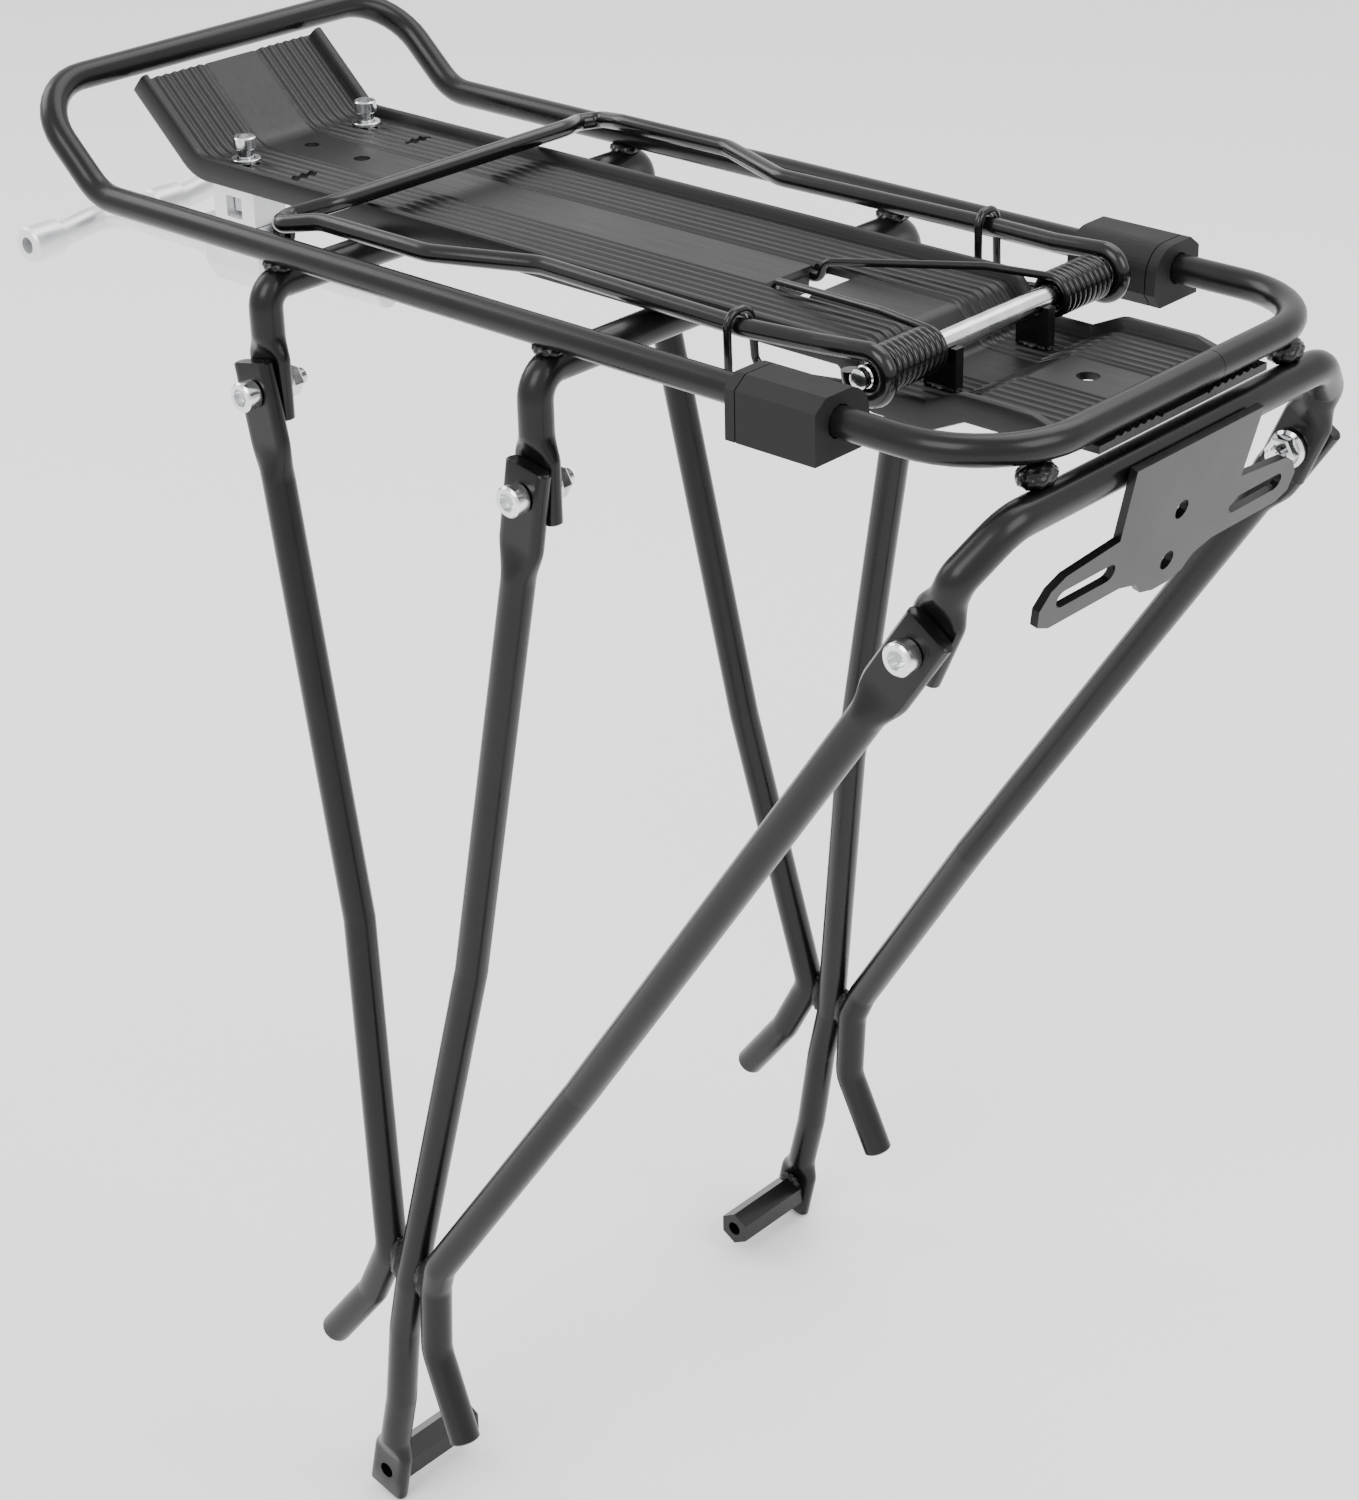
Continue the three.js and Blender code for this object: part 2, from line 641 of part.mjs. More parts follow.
// Socket-head screw standing proud of the deck, over its washer
function deckScrew() {
  const foot = 368.4;
  const headLow = DECK_TOP + 4.4;
  const length = headLow + 0.5 - foot;
  const shank = rod('z', BOLT_RADIUS - 0.1, length, point(CLAMP.x, CLAMP.y, foot + length / 2), 12);
  const head = rod('z', 3.4, 3.6, point(CLAMP.x, CLAMP.y, headLow + 1.8), 16);
  const socket = rod('z', 1.9, 4, point(CLAMP.x, CLAMP.y, headLow + 3.6), 6);
  return toGeometry(cut(joined([shank, head]), [socket]));
}

function deckWasher() {
  const centre = point(CLAMP.x, CLAMP.y, DECK_TOP + GAP + 0.6);
  const ring = rod('z', 4.4, 1.2, centre, 16);
  return toGeometry(cut(toSolid(ring), [rod('z', BOLT_RADIUS + 0.2, 4, centre, 12)]));
}

// Black screw behind the clamp that pinches the rod
function clampScrew() {
  const head = rod('x', 3.2, 3, point(LOWER_CLAMP.rear - GAP - 1.5, CLAMP.y - 3, 362.4), 12);
  const socket = rod('x', 1.5, 3, point(LOWER_CLAMP.rear - GAP - 3, CLAMP.y - 3, 362.4), 6);
  return toGeometry(cut(toSolid(head), [socket]));
}

// Both rods turn to the bicycle's left at their front ends
function stayRod(y) {
  const corners = [
    point(STAY.rear, y, STAY.z),
    bent(STAY.front, y, STAY.z, STAY.bend),
    point(STAY.front, y + STAY.reach - FERRULE.length, STAY.z - STAY.drop),
  ];
  return tubeAlong(new BentPath(corners, STAY.bend, 6), STAY.radius, 12);
}

function ferrule(y) {
  const outer = y + STAY.reach + GAP;
  const centre = point(STAY.front, outer - FERRULE.length / 2, STAY.z - STAY.drop);
  const body = rod('y', FERRULE.radius, FERRULE.length - GAP, centre, 16);
  return toGeometry(cut(toSolid(body), [rod('y', FERRULE.bore, 20, centre, 12)]));
}

// ---- the rack ----

const onBothSides = (name, geometry, finish) => {
  add(`${name}_left`, geometry, finish);
  add(`${name}_right`, mirrorAcross(geometry), finish);
};

add('rail_loop', railLoop(), 'blackPaint');
add('platform_plate', platformPlate(), 'blackAnodised');
add('cross_tube_front', levelCrossTube(LEG_BOLT.front), 'blackPaint');
add('cross_tube_middle', levelCrossTube(LEG_BOLT.middle), 'blackPaint');
add('cross_tube_rear', rearCrossTube(), 'blackPaint');
for (const which of ['front', 'middle', 'rear']) {
  onBothSides(`leg_${which}`, leg(which), 'blackPaint');
  onBothSides(`leg_bolt_${which}`, legBolt(LEG_BOLT[which]), 'zinc');
  onBothSides(`leg_nut_${which}`, legNut(LEG_BOLT[which]), 'zinc');
}
onBothSides('foot_boss', footBoss(), 'blackPaint');
add('reflector_bracket', reflectorBracket(), 'blackPaint');

add('clip_frame', clipFrame(), 'springWire');
add('axle_tube', axleTube(), 'zinc');
add('axle_pin', axlePin(), 'zinc');
onBothSides('axle_saddle', axleSaddle(), 'blackPaint');
onBothSides('torsion_spring', indexed(torsionSpring()), 'springWire');

add('rail_block_left', railBlock(BLOCK.rear, BLOCK.front - BLOCK.cap - GAP), 'rubber');
add('rail_block_cap_left', railBlock(BLOCK.front - BLOCK.cap, BLOCK.front), 'rubber');
const rightBlock = railBlock(BLOCK.rear + BLOCK.cap + GAP, BLOCK.front);
add('rail_block_right', mirrorAcross(rightBlock), 'rubber');
const rightCap = railBlock(BLOCK.rear, BLOCK.rear + BLOCK.cap);
add('rail_block_cap_right', mirrorAcross(rightCap), 'rubber');

onBothSides('clamp_block', clampBlock(), 'aluminium');
onBothSides('clamp_lower', lowerClamp(), 'aluminium');
onBothSides('clamp_screw', clampScrew(), 'blackPaint');
onBothSides('square_nut', squareNut(), 'zinc');
onBothSides('deck_screw', deckScrew(), 'zinc');
onBothSides('deck_washer', deckWasher(), 'zinc');
for (const [name, y] of [['left', CLAMP.y], ['right', -CLAMP.y]]) {
  add(`stay_rod_${name}`, stayRod(y), 'aluminium');
  add(`stay_ferrule_${name}`, ferrule(y), 'aluminium');
}

export default rack;
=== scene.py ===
"""Bicycle rear rack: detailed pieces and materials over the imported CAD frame.

Helper functions take millimetres in the frame's own axes (+X forward, +Y left, +Z up) and make
meshes in metres.
"""
import json
import math
import bmesh
import bpy
from mathutils import Matrix, Vector


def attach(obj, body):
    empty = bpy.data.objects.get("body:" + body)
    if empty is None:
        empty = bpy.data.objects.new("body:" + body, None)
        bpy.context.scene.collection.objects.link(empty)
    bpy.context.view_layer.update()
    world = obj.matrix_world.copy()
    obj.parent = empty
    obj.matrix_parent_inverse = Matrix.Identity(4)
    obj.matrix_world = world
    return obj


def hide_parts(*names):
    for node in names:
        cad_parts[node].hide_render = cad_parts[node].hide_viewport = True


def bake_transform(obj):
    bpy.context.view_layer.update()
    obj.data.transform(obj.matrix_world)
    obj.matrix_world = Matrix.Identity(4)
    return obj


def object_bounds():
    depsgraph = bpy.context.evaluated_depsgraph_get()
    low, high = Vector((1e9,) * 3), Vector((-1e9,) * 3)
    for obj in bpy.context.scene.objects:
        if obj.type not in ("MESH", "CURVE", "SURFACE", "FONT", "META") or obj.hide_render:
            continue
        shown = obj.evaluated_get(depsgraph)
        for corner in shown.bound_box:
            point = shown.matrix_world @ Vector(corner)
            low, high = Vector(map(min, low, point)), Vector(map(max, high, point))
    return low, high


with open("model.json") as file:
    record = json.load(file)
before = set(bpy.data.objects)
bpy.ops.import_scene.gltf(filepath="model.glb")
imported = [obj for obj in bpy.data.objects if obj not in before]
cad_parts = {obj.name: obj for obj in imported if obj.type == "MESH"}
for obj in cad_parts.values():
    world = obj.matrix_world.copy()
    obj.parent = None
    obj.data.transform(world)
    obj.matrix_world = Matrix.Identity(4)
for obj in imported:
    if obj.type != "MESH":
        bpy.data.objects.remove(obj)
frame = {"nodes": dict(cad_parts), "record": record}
cad_box = [list(corner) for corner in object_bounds()]

MM = 0.001
SIDES = {"left": 1, "right": -1}

RAIL_RADIUS = 4.0
RAIL_HALF_WIDTH = 70.0
RAIL_Z = 382.5
RAIL_REAR_X = -203.5
RAIL_KINK_X = 117.0
RAIL_FRONT_X = 146.0
RAIL_FRONT_Z = 408.5
RAIL_SEAM_Y = -15.0

DECK_TOP = 383.4
DECK_SHEET = 2.0
DECK_REAR_X = -206.5
LIP_INNER = 32.0
LIP_REAR_X = -195.0
REAR_STEP = 5.3
TROUGH = {"front": -129, "floor_front": -138, "floor_rear": -156, "rear": -166, "depth": 9.9}
FOLD_X = 117.0
FLAP_END_X = 140.4
FLAP_END_Z = 403.6
DECK_HOLES = [(105, 2.25), (83, 2.5), (-178, 3.0)]
SLOT = {"x": 83, "half": 1.75, "inner": 19.7, "outer": 25.8}
WINDOW = {"rear": -97, "front": -82, "half_width": 11.2}

TUBE_RADIUS = 4.75
FLAT_HALF_WIDTH = 7.2
FLAT_HALF_THICKNESS = 2.2
CROSS_Z = 373.4
REAR_CROSS_Z = 367.9
LEG_BOLT = {
    "front": Vector((41.5, 75.2, 344.4)),
    "middle": Vector((-61.5, 75.2, 341.4)),
    "rear": Vector((-190.5, 78.5, 338.4)),
}
GAP = 0.35
STUB_TO_LEG = 2 * FLAT_HALF_THICKNESS + GAP
FOOT_Y = 98.0
FOOT_HOLE = 2.6
BOLT_RADIUS = 2.4
BOLT_TIP = 9.0

AXLE = Vector((-148.0, 0.0, 385.4))
AXLE_HALF = 50.5
PIN_RADIUS = 1.4
SADDLE_Y = 19.0
CLIP_WIRE = 2.5
CLIP_Z = 389.4
EYE_Y = 48.0
EYE_RADIUS = 5.8
SPRING_WIRE = 1.1
COIL_RADIUS = 5.0
COIL_TURNS = 8.5
COIL_INNER = 25.0
COIL_OUTER = 43.6

CLAMP_X = 107.0
CLAMP_Y = 24.0
STAY_RADIUS = 4.0
STAY_BEND = 12.0
STAY_Z = 355.4
STAY_REAR_X = 48.0
STAY_FRONT_X = 174.0
STAY_REACH = 33.0
STAY_DROP = 3.0
FERRULE_LENGTH = 12.0


# ---- camera ----

CAMERA_AT = Vector((-0.5878, 0.5942, 0.6530))
CAMERA_TURN = math.radians(132.7)
CAMERA_RISE = math.radians(26.91)
CAMERA_ROLL = math.radians(1.26)


def make_camera():
    """From the rear left and above."""
    flat = math.cos(CAMERA_RISE)
    sideways = (flat * math.cos(CAMERA_TURN), flat * math.sin(CAMERA_TURN))
    back = Vector((*sideways, math.sin(CAMERA_RISE)))
    level = Vector((0, 0, 1)).cross(back).normalized()
    upright = back.cross(level)
    right = level * math.cos(CAMERA_ROLL) - upright * math.sin(CAMERA_ROLL)
    up = back.cross(right)
    camera = bpy.data.objects.new("camera", bpy.data.cameras.new("camera"))
    bpy.context.collection.objects.link(camera)
    turn = Matrix((right, up, back)).transposed().to_4x4()
    camera.matrix_world = Matrix.Translation(CAMERA_AT) @ turn
    camera.data.sensor_width = 36
    camera.data.lens = 74.68
    camera.data.shift_y = -0.03
    camera.data.clip_start = 0.01
    bpy.context.scene.camera = camera


# ---- materials ----

def new_material(name, color, roughness, metallic=0.0, coat=0.0, specular=0.5):
    """A principled material; returns it with its node tree and shader."""
    material = bpy.data.materials.new(name)
    material.use_nodes = True
    shader = material.node_tree.nodes["Principled BSDF"]
    shader.inputs["Base Color"].default_value = (*color, 1)
    shader.inputs["Roughness"].default_value = roughness
    shader.inputs["Metallic"].default_value = metallic
    shader.inputs["Specular IOR Level"].default_value = specular
    shader.inputs["Coat Weight"].default_value = coat
    shader.inputs["Coat Roughness"].default_value = 0.12
    return material, material.node_tree, shader


def noise(tree, scale, detail=4.0, stretch=(1, 1, 1)):
    """Noise over the object's own coordinates, stretched along its axes."""
    place = tree.nodes.new("ShaderNodeTexCoord")
    mapping = tree.nodes.new("ShaderNodeMapping")
    mapping.inputs["Scale"].default_value = stretch
    texture = tree.nodes.new("ShaderNodeTexNoise")
    texture.inputs["Scale"].default_value = scale
    texture.inputs["Detail"].default_value = detail
    tree.links.new(place.outputs["Object"], mapping.inputs["Vector"])
    tree.links.new(mapping.outputs["Vector"], texture.inputs["Vector"])
    return texture.outputs["Fac"]


def spread(tree, value, low, high):
    """Maps a 0 to 1 value onto low to high."""
    node = tree.nodes.new("ShaderNodeMapRange")
    node.inputs["From Min"].default_value = 0.3
    node.inputs["From Max"].default_value = 0.7
    node.inputs["To Min"].default_value = low
    node.inputs["To Max"].default_value = high
    tree.links.new(value, node.inputs["Value"])
    return node.outputs["Result"]


def tint(tree, value, dark, light):
    """Blends two colours by a value."""
    node = tree.nodes.new("ShaderNodeValToRGB")
    node.color_ramp.elements[0].position = 0.35
    node.color_ramp.elements[1].position = 0.65
    node.color_ramp.elements[0].color = (*dark, 1)
    node.color_ramp.elements[1].color = (*light, 1)
    tree.links.new(value, node.inputs["Fac"])
    return node.outputs["Color"]


def bump(tree, shader, value, strength, distance):
    """Bumps the shader's surface by a value; distance is in millimetres."""
    node = tree.nodes.new("ShaderNodeBump")
    node.inputs["Strength"].default_value = strength
    node.inputs["Distance"].default_value = distance * MM
    tree.links.new(value, node.inputs["Height"])
    tree.links.new(node.outputs["Normal"], shader.inputs["Normal"])


def gloss_paint():
    """Black powder coat: glossy, with a faint orange peel and a few duller patches."""
    material, tree, shader = new_material("gloss_paint", (0.003, 0.003, 0.0032), 0.26, 0, 0.1, 0.25)
    peel = noise(tree, 420, 2)
    cloud = noise(tree, 45, 5)
    tree.links.new(spread(tree, cloud, 0.24, 0.36), shader.inputs["Roughness"])
    tree.links.new(tint(tree, cloud, (0.0025, 0.0025, 0.0027), (0.0045, 0.0045, 0.0048)),
                   shader.inputs["Base Color"])
    bump(tree, shader, peel, 0.12, 0.06)
    return material


def satin_deck():
    """Black anodised extrusion: satin, with fine streaks drawn along its length."""
    material, tree, shader = new_material("satin_deck", (0.006, 0.006, 0.0065), 0.34, 0, 0.0, 0.3)
    streaks = noise(tree, 60, 6, (0.6, 30, 12))
    cloud = noise(tree, 18, 4)
    tree.links.new(spread(tree, streaks, 0.3, 0.42), shader.inputs["Roughness"])
    tree.links.new(tint(tree, cloud, (0.005, 0.005, 0.0055), (0.009, 0.009, 0.0095)),
                   shader.inputs["Base Color"])
    bump(tree, shader, streaks, 0.1, 0.05)
    return material


def spring_wire():
    """Black lacquered spring wire, glossier than the tubes."""
    material, tree, shader = new_material("spring_wire", (0.003, 0.003, 0.003), 0.2, 0, 0.2, 0.3)
    drawn = noise(tree, 300, 4)
    tree.links.new(spread(tree, drawn, 0.16, 0.28), shader.inputs["Roughness"])
    bump(tree, shader, drawn, 0.08, 0.04)
    return material


def zinc_plate():
    """Bright zinc: mirror-like, slightly clouded and scuffed."""
    material, tree, shader = new_material("zinc_plate", (0.78, 0.79, 0.80), 0.16, 1.0)
    cloud = noise(tree, 160, 5)
    scuffs = noise(tree, 700, 3, (1, 0.25, 1))
    tree.links.new(spread(tree, cloud, 0.1, 0.26), shader.inputs["Roughness"])
    tree.links.new(tint(tree, cloud, (0.66, 0.67, 0.69), (0.85, 0.86, 0.86)),
                   shader.inputs["Base Color"])
    bump(tree, shader, scuffs, 0.1, 0.03)
    return material


def bare_aluminium():
    """Pale satin aluminium with a fine cast grain."""
    material, tree, shader = new_material("bare_aluminium", (0.8, 0.81, 0.82), 0.4, 0.85)
    grain = noise(tree, 900, 3)
    cloud = noise(tree, 70, 4)
    tree.links.new(spread(tree, cloud, 0.34, 0.5), shader.inputs["Roughness"])
    tree.links.new(tint(tree, cloud, (0.74, 0.75, 0.77), (0.86, 0.87, 0.88)),
                   shader.inputs["Base Color"])
    bump(tree, shader, grain, 0.18, 0.05)
    return material


def moulded_rubber():
    """Matt black rubber with a pebbled skin."""
    material, tree, shader = new_material("moulded_rubber", (0.008, 0.008, 0.008), 0.62, 0, 0, 0.25)
    grain = noise(tree, 1100, 3)
    bloom = noise(tree, 60, 4)
    tree.links.new(spread(tree, bloom, 0.52, 0.7), shader.inputs["Roughness"])
    tree.links.new(tint(tree, bloom, (0.006, 0.006, 0.006), (0.011, 0.011, 0.011)),
                   shader.inputs["Base Color"])
    bump(tree, shader, grain, 0.3, 0.08)
    return material


MATERIALS = {
    "black_paint": gloss_paint(),
    "black_deck": satin_deck(),
    "spring_wire": spring_wire(),
    "zinc": zinc_plate(),
    "bare_aluminium": bare_aluminium(),
    "rubber": moulded_rubber(),
}


# ---- making pieces ----

def piece(name, mesh_data, body, slot, nodes=()):
    """Adds a finished bmesh as a piece that rides on a body and stands for some CAD nodes."""
    bmesh.ops.remove_doubles(mesh_data, verts=mesh_data.verts, dist=1e-7)
    bmesh.ops.recalc_face_normals(mesh_data, faces=mesh_data.faces)
    mesh = bpy.data.meshes.new(name)
    mesh_data.to_mesh(mesh)
    mesh_data.free()
    obj = bpy.data.objects.new(name, mesh)
    bpy.context.collection.objects.link(obj)
    obj.data.materials.append(MATERIALS[slot])
    shade_smooth(obj)
    if nodes:
        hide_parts(*nodes)
    if body:
        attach(obj, body)
    return obj


def shade_smooth(obj, angle=35):
    """Smooth faces, with edges sharper than the angle kept crisp."""
    obj.data.shade_smooth()
    obj.data.set_sharp_from_angle(angle=math.radians(angle))


def skin(data, rings, capped=True):
    """Joins rings of vertices with faces, and closes both ends if the skin is capped."""
    count = len(rings[0])
    for low, high in zip(rings, rings[1:]):
        for i in range(count):
            j = (i + 1) % count
            data.faces.new((low[i], low[j], high[j], high[i]))
    if capped:
        data.faces.new(rings[0][::-1])
        data.faces.new(rings[-1])


def corner(x, y, z, bend=None, flat=0.0):
    """A path's corner: its bend radius, if not the path's own, and how flat the tube is there."""
    return {"at": Vector((x, y, z)), "bend": bend, "flat": flat}


def mirrored(corners):
    """The same corners on the other side, in reverse order."""
    other = [corner(c["at"].x, -c["at"].y, c["at"].z, c["bend"], c["flat"]) for c in corners]
    return other[::-1]


LONGEST_RUN = 10.0
BEND_STEP = math.radians(9)
FEWEST_FLATTENING_RUNS = 8


def bent_path(corners, radius):
    """Stations (point, tangent, flatness) along straight runs joined by round bends.

    A bend takes at most 49% of the shorter run beside it.
    """
    arcs = [[(corners[0]["at"], corners[1]["at"] - corners[0]["at"], corners[0]["flat"])]]
    for before, here, after in zip(corners, corners[1:], corners[2:]):
        back = before["at"] - here["at"]
        onward = after["at"] - here["at"]
        half = back.angle(onward) / 2
        bend = radius if here["bend"] is None else here["bend"]
        room = 0.49 * min(back.length, onward.length)
        setback = min(bend / math.tan(half), room)
        back.normalize()
        onward.normalize()
        turn = math.pi - 2 * half
        if turn < 0.02 or setback < 1e-4:
            arcs.append([(here["at"], onward - back, here["flat"])])
            continue
        inward = (back + onward).normalized()
        centre = here["at"] + inward * (setback / math.cos(half))
        spoke = here["at"] + back * setback - centre
        axis = (-back).cross(onward)
        count = max(3, math.ceil(turn / BEND_STEP))
        arc = []
        for k in range(count + 1):
            rotation = Matrix.Rotation(turn * k / count, 3, axis)
            arc.append((centre + rotation @ spoke, rotation @ -back, here["flat"]))
        arcs.append(arc)
    last = corners[-1]
    arcs.append([(last["at"], last["at"] - corners[-2]["at"], last["flat"])])
    stations = list(arcs[0])
    for arc in arcs[1:]:
        start, end = stations[-1], arc[0]
        runs = max(1, round((end[0] - start[0]).length / LONGEST_RUN))
        if start[2] != end[2]:
            runs = max(runs, FEWEST_FLATTENING_RUNS)
        for k in range(1, runs):
            share = k / runs
            eased = share * share * (3 - 2 * share)
            flatness = start[2] + (end[2] - start[2]) * eased
            stations.append((start[0].lerp(end[0], share), end[0] - start[0], flatness))
        stations.extend(arc)
    return [(at, tangent.normalized(), flatness) for at, tangent, flatness in stations]


def sweep(stations, radius, sides=20, round_ends=0.0):
    """A tube through the stations; at flatness 1 it is a thin rounded bar, flat across Y."""
    data = bmesh.new()
    side_axis = stations[0][1].orthogonal().normalized()
    rings = []
    for at, tangent, flatness in stations:
        side_axis = (side_axis - tangent * side_axis.dot(tangent)).normalized()
        other = tangent.cross(side_axis)
        ring = []
        for i in range(sides):
            angle = 2 * math.pi * (i + 0.5) / sides
            arm = (side_axis * math.cos(angle) + other * math.sin(angle)) * radius
            ring.append(at + flatten(arm, tangent, radius, flatness))
        rings.append(ring)
    if round_ends:
        first = rounded_end(rings, stations, 0, round_ends)
        last = rounded_end(rings, stations, -1, round_ends)
        rings = [first, *rings, last]
    skin(data, [[data.verts.new(p * MM) for p in ring] for ring in rings])
    return data


def flatten(arm, tangent, radius, flatness):
    """Squeezes an arm of a round section towards a bar that is thin across Y."""
    if flatness <= 0:
        return arm
    thin = (Vector((0, 1, 0)) - tangent * tangent.y).normalized()
    wide = tangent.cross(thin)
    across, along = arm.dot(thin), arm.dot(wide)
    full = math.copysign(min(abs(across) * 1.9, radius), across)
    pressed = thin * (full * FLAT_HALF_THICKNESS / radius) + wide * (along * FLAT_HALF_WIDTH / radius)
    return arm.lerp(pressed, flatness)


def rounded_end(rings, stations, which, amount):
    """Moves an end's ring inwards and returns a smaller ring for the end, as a chamfered rim."""
    at, tangent, _ = stations[which]
    outward = -tangent if which == 0 else tangent
    ring = rings[which]
    middle = sum(ring, Vector()) / len(ring)
    small = [middle + (p - middle) * (1 - amount / TUBE_RADIUS) for p in ring]
    rings[which] = [p - outward * amount for p in ring]
    return small


def box_cutter(low, high):
    """A box between two corners, as a bmesh for cutting."""
    data = bmesh.new()
    size = Vector(high) - Vector(low)
    middle = (Vector(high) + Vector(low)) / 2
    place = Matrix.Translation(middle * MM) @ Matrix.Diagonal((*(size * MM), 1))
    bmesh.ops.create_cube(data, size=1, matrix=place)
    return data


TURN_TO = {
    "x": Matrix.Rotation(math.pi / 2, 4, "Y"),
    "y": Matrix.Rotation(-math.pi / 2, 4, "X"),
    "z": Matrix.Identity(4),
}


def turned(profile, axis, centre, flats=0, segments=48):
    """A turned piece: (distance along the axis, radius) pairs, round or with hexagonal flats."""
    data = bmesh.new()
    place = Matrix.Translation(Vector(centre) * MM) @ TURN_TO[axis]
    rings = []
    for along, radius in profile:
        ring = []
        for i in range(segments):
            angle = 2 * math.pi * i / segments
            reach = radius
            if flats:
                sector = 2 * math.pi / flats
                inset = (angle % sector) - sector / 2
                reach = min(radius, flats_reach(radius, flats) / math.cos(inset))
            local = Vector((reach * math.cos(angle), reach * math.sin(angle), along)) * MM
            ring.append(data.verts.new(place @ local))
        rings.append(ring)
    skin(data, rings, capped=profile[0] != profile[-1])
    return data


def drill(axis, radius, half_length, centre, segments=32):
    """A round cutter along an axis."""
    profile = [(-half_length, radius), (half_length, radius)]
    return turned(profile, axis, centre, segments=segments)


def flats_reach(radius, flats):
    """Half the distance across flats of a polygon whose corners just pass the radius."""
    return radius * math.cos(math.pi / flats)


def merged(*parts):
    """Several bmeshes as one."""
    data = bmesh.new()
    for part in parts:
        mesh = bpy.data.meshes.new("part")
        part.to_mesh(mesh)
        part.free()
        data.from_mesh(mesh)
        bpy.data.meshes.remove(mesh)
    return data


def cut_from(obj, cutters):
    """Cuts bmeshes out of an object and applies the result."""
    mesh = bpy.data.meshes.new("cutter")
    tool_data = merged(*cutters)
    bmesh.ops.recalc_face_normals(tool_data, faces=tool_data.faces)
    tool_data.to_mesh(mesh)
    tool_data.free()
    tool = bpy.data.objects.new("cutter", mesh)
    bpy.context.collection.objects.link(tool)
    cut = obj.modifiers.new("cut", "BOOLEAN")
    cut.operation = "DIFFERENCE"
    cut.solver = "EXACT"
    cut.use_self = True
    cut.object = tool
    bpy.context.view_layer.update()
    result = bpy.data.meshes.new_from_object(obj.evaluated_get(bpy.context.evaluated_depsgraph_get()))
    obj.modifiers.clear()
    obj.data = result
    bpy.data.objects.remove(tool)
    shade_smooth(obj)


# ---- tubes ----

def rail_loop():
    left = [
        corner(RAIL_REAR_X, RAIL_HALF_WIDTH, RAIL_Z, 28),
        corner(RAIL_KINK_X, RAIL_HALF_WIDTH, RAIL_Z, 16),
        corner(RAIL_FRONT_X, RAIL_HALF_WIDTH, RAIL_FRONT_Z, 24),
    ]
    start = corner(RAIL_REAR_X, RAIL_SEAM_Y + 0.1, RAIL_Z)
    end = corner(RAIL_REAR_X, RAIL_SEAM_Y - 0.1, RAIL_Z)
    stations = bent_path([start, *left, *mirrored(left), end], 28)
    piece("rail", sweep(stations, RAIL_RADIUS, 24), "root", "black_paint", ["rail_loop"])


def cross_tube(which, shoulder, inboard):
    """A tube under the rails: flattened stub, shoulder, corners inboard, then all that mirrored."""
    bolt = LEG_BOLT[which]
    down = (bolt - shoulder["at"]).normalized()
    left = [
        corner(*(bolt + down * 8.5), flat=1.0),
        corner(*(bolt - down * 8.5), flat=1.0),
        corner(*(bolt - down * 16)),
        shoulder,
        *inboard,
    ]
    stations = bent_path([*left, *mirrored(left)], 3)
    data = sweep(stations, TUBE_RADIUS, 24, 0.5)
    piece(f"cross_{which}", data, "root", "black_paint", [f"cross_tube_{which}"])


LEG_CORNERS = {
    "front": [(10.4, 85.1, 190), (-7.3, 97.4, 88), (3.4, 96.8, 66.7), (21, 98.2, 43.7)],
    "middle": [(-35.2, 84.3, 190), (-15.9, 98.2, 80), (-11.6, 98.3, 60.8), (-7.3, 98, 31.5)],
    "rear": [(-80.2, 88, 170), (-29.5, 98.4, 92), (-26, 97.4, 83), (-24.6, 97.6, 59),
             (-36.4, 99.1, 31.4)],
}


def leg(which, side_name):
    """A leg, flattened where it bolts on and, for the middle leg, at its foot."""
    side = SIDES[side_name]
    bolt = LEG_BOLT[which]
    head = Vector((bolt.x, bolt.y + STUB_TO_LEG, bolt.z))
    rake = head - Vector(LEG_CORNERS[which][0])
    rake.y = 0
    rake.normalize()
    corners = [
        corner(*(head + rake * 8.5), flat=1.0),
        corner(*(head - rake * 14), flat=1.0),
        corner(*(head - rake * 26)),
        *[corner(*at) for at in LEG_CORNERS[which]],
    ]
    if which == "middle":
        corners.append(corner(-3.2, FOOT_Y, 14))
        corners.append(corner(-1.6, FOOT_Y, 7, flat=1.0))
        corners.append(corner(1.8, FOOT_Y, -8.4, flat=1.0))
    for c in corners:
        c["at"].y *= side
    name = f"leg_{which}_{side_name}"
    data = sweep(bent_path(corners, 12), TUBE_RADIUS, 24, 0.5)
    tube = piece(f"stay_{which}_{side_name}", data, "root", "black_paint", [name])
    if which == "middle":
        cut_from(tube, [drill("y", FOOT_HOLE, 9, (0, side * FOOT_Y, 0))])


# ---- deck ----

def deck_line():
    """The sheet's middle line from the rear to the top of the front flap."""
    middle = DECK_TOP - DECK_SHEET / 2
    return bent_path([
        corner(DECK_REAR_X, 0, middle - REAR_STEP),
        corner(TROUGH["rear"], 0, middle - REAR_STEP),
        corner(TROUGH["floor_rear"], 0, middle - TROUGH["depth"]),
        corner(TROUGH["floor_front"], 0, middle - TROUGH["depth"]),
        corner(TROUGH["front"], 0, middle),
        corner(FOLD_X, 0, middle, 12),
        corner(FLAP_END_X, 0, FLAP_END_Z),
    ], 4)


RIB_MIDDLES = [12.4, 15.6, 18.8, 22.0, 25.2, 28.4]
RIB_HALF_WIDTH = 0.9
RIB_HEIGHT = 0.55
GROOVE_MIDDLE = 10.0
GROOVE_HALF_WIDTH = 0.6
GROOVE_DEPTH = 0.45


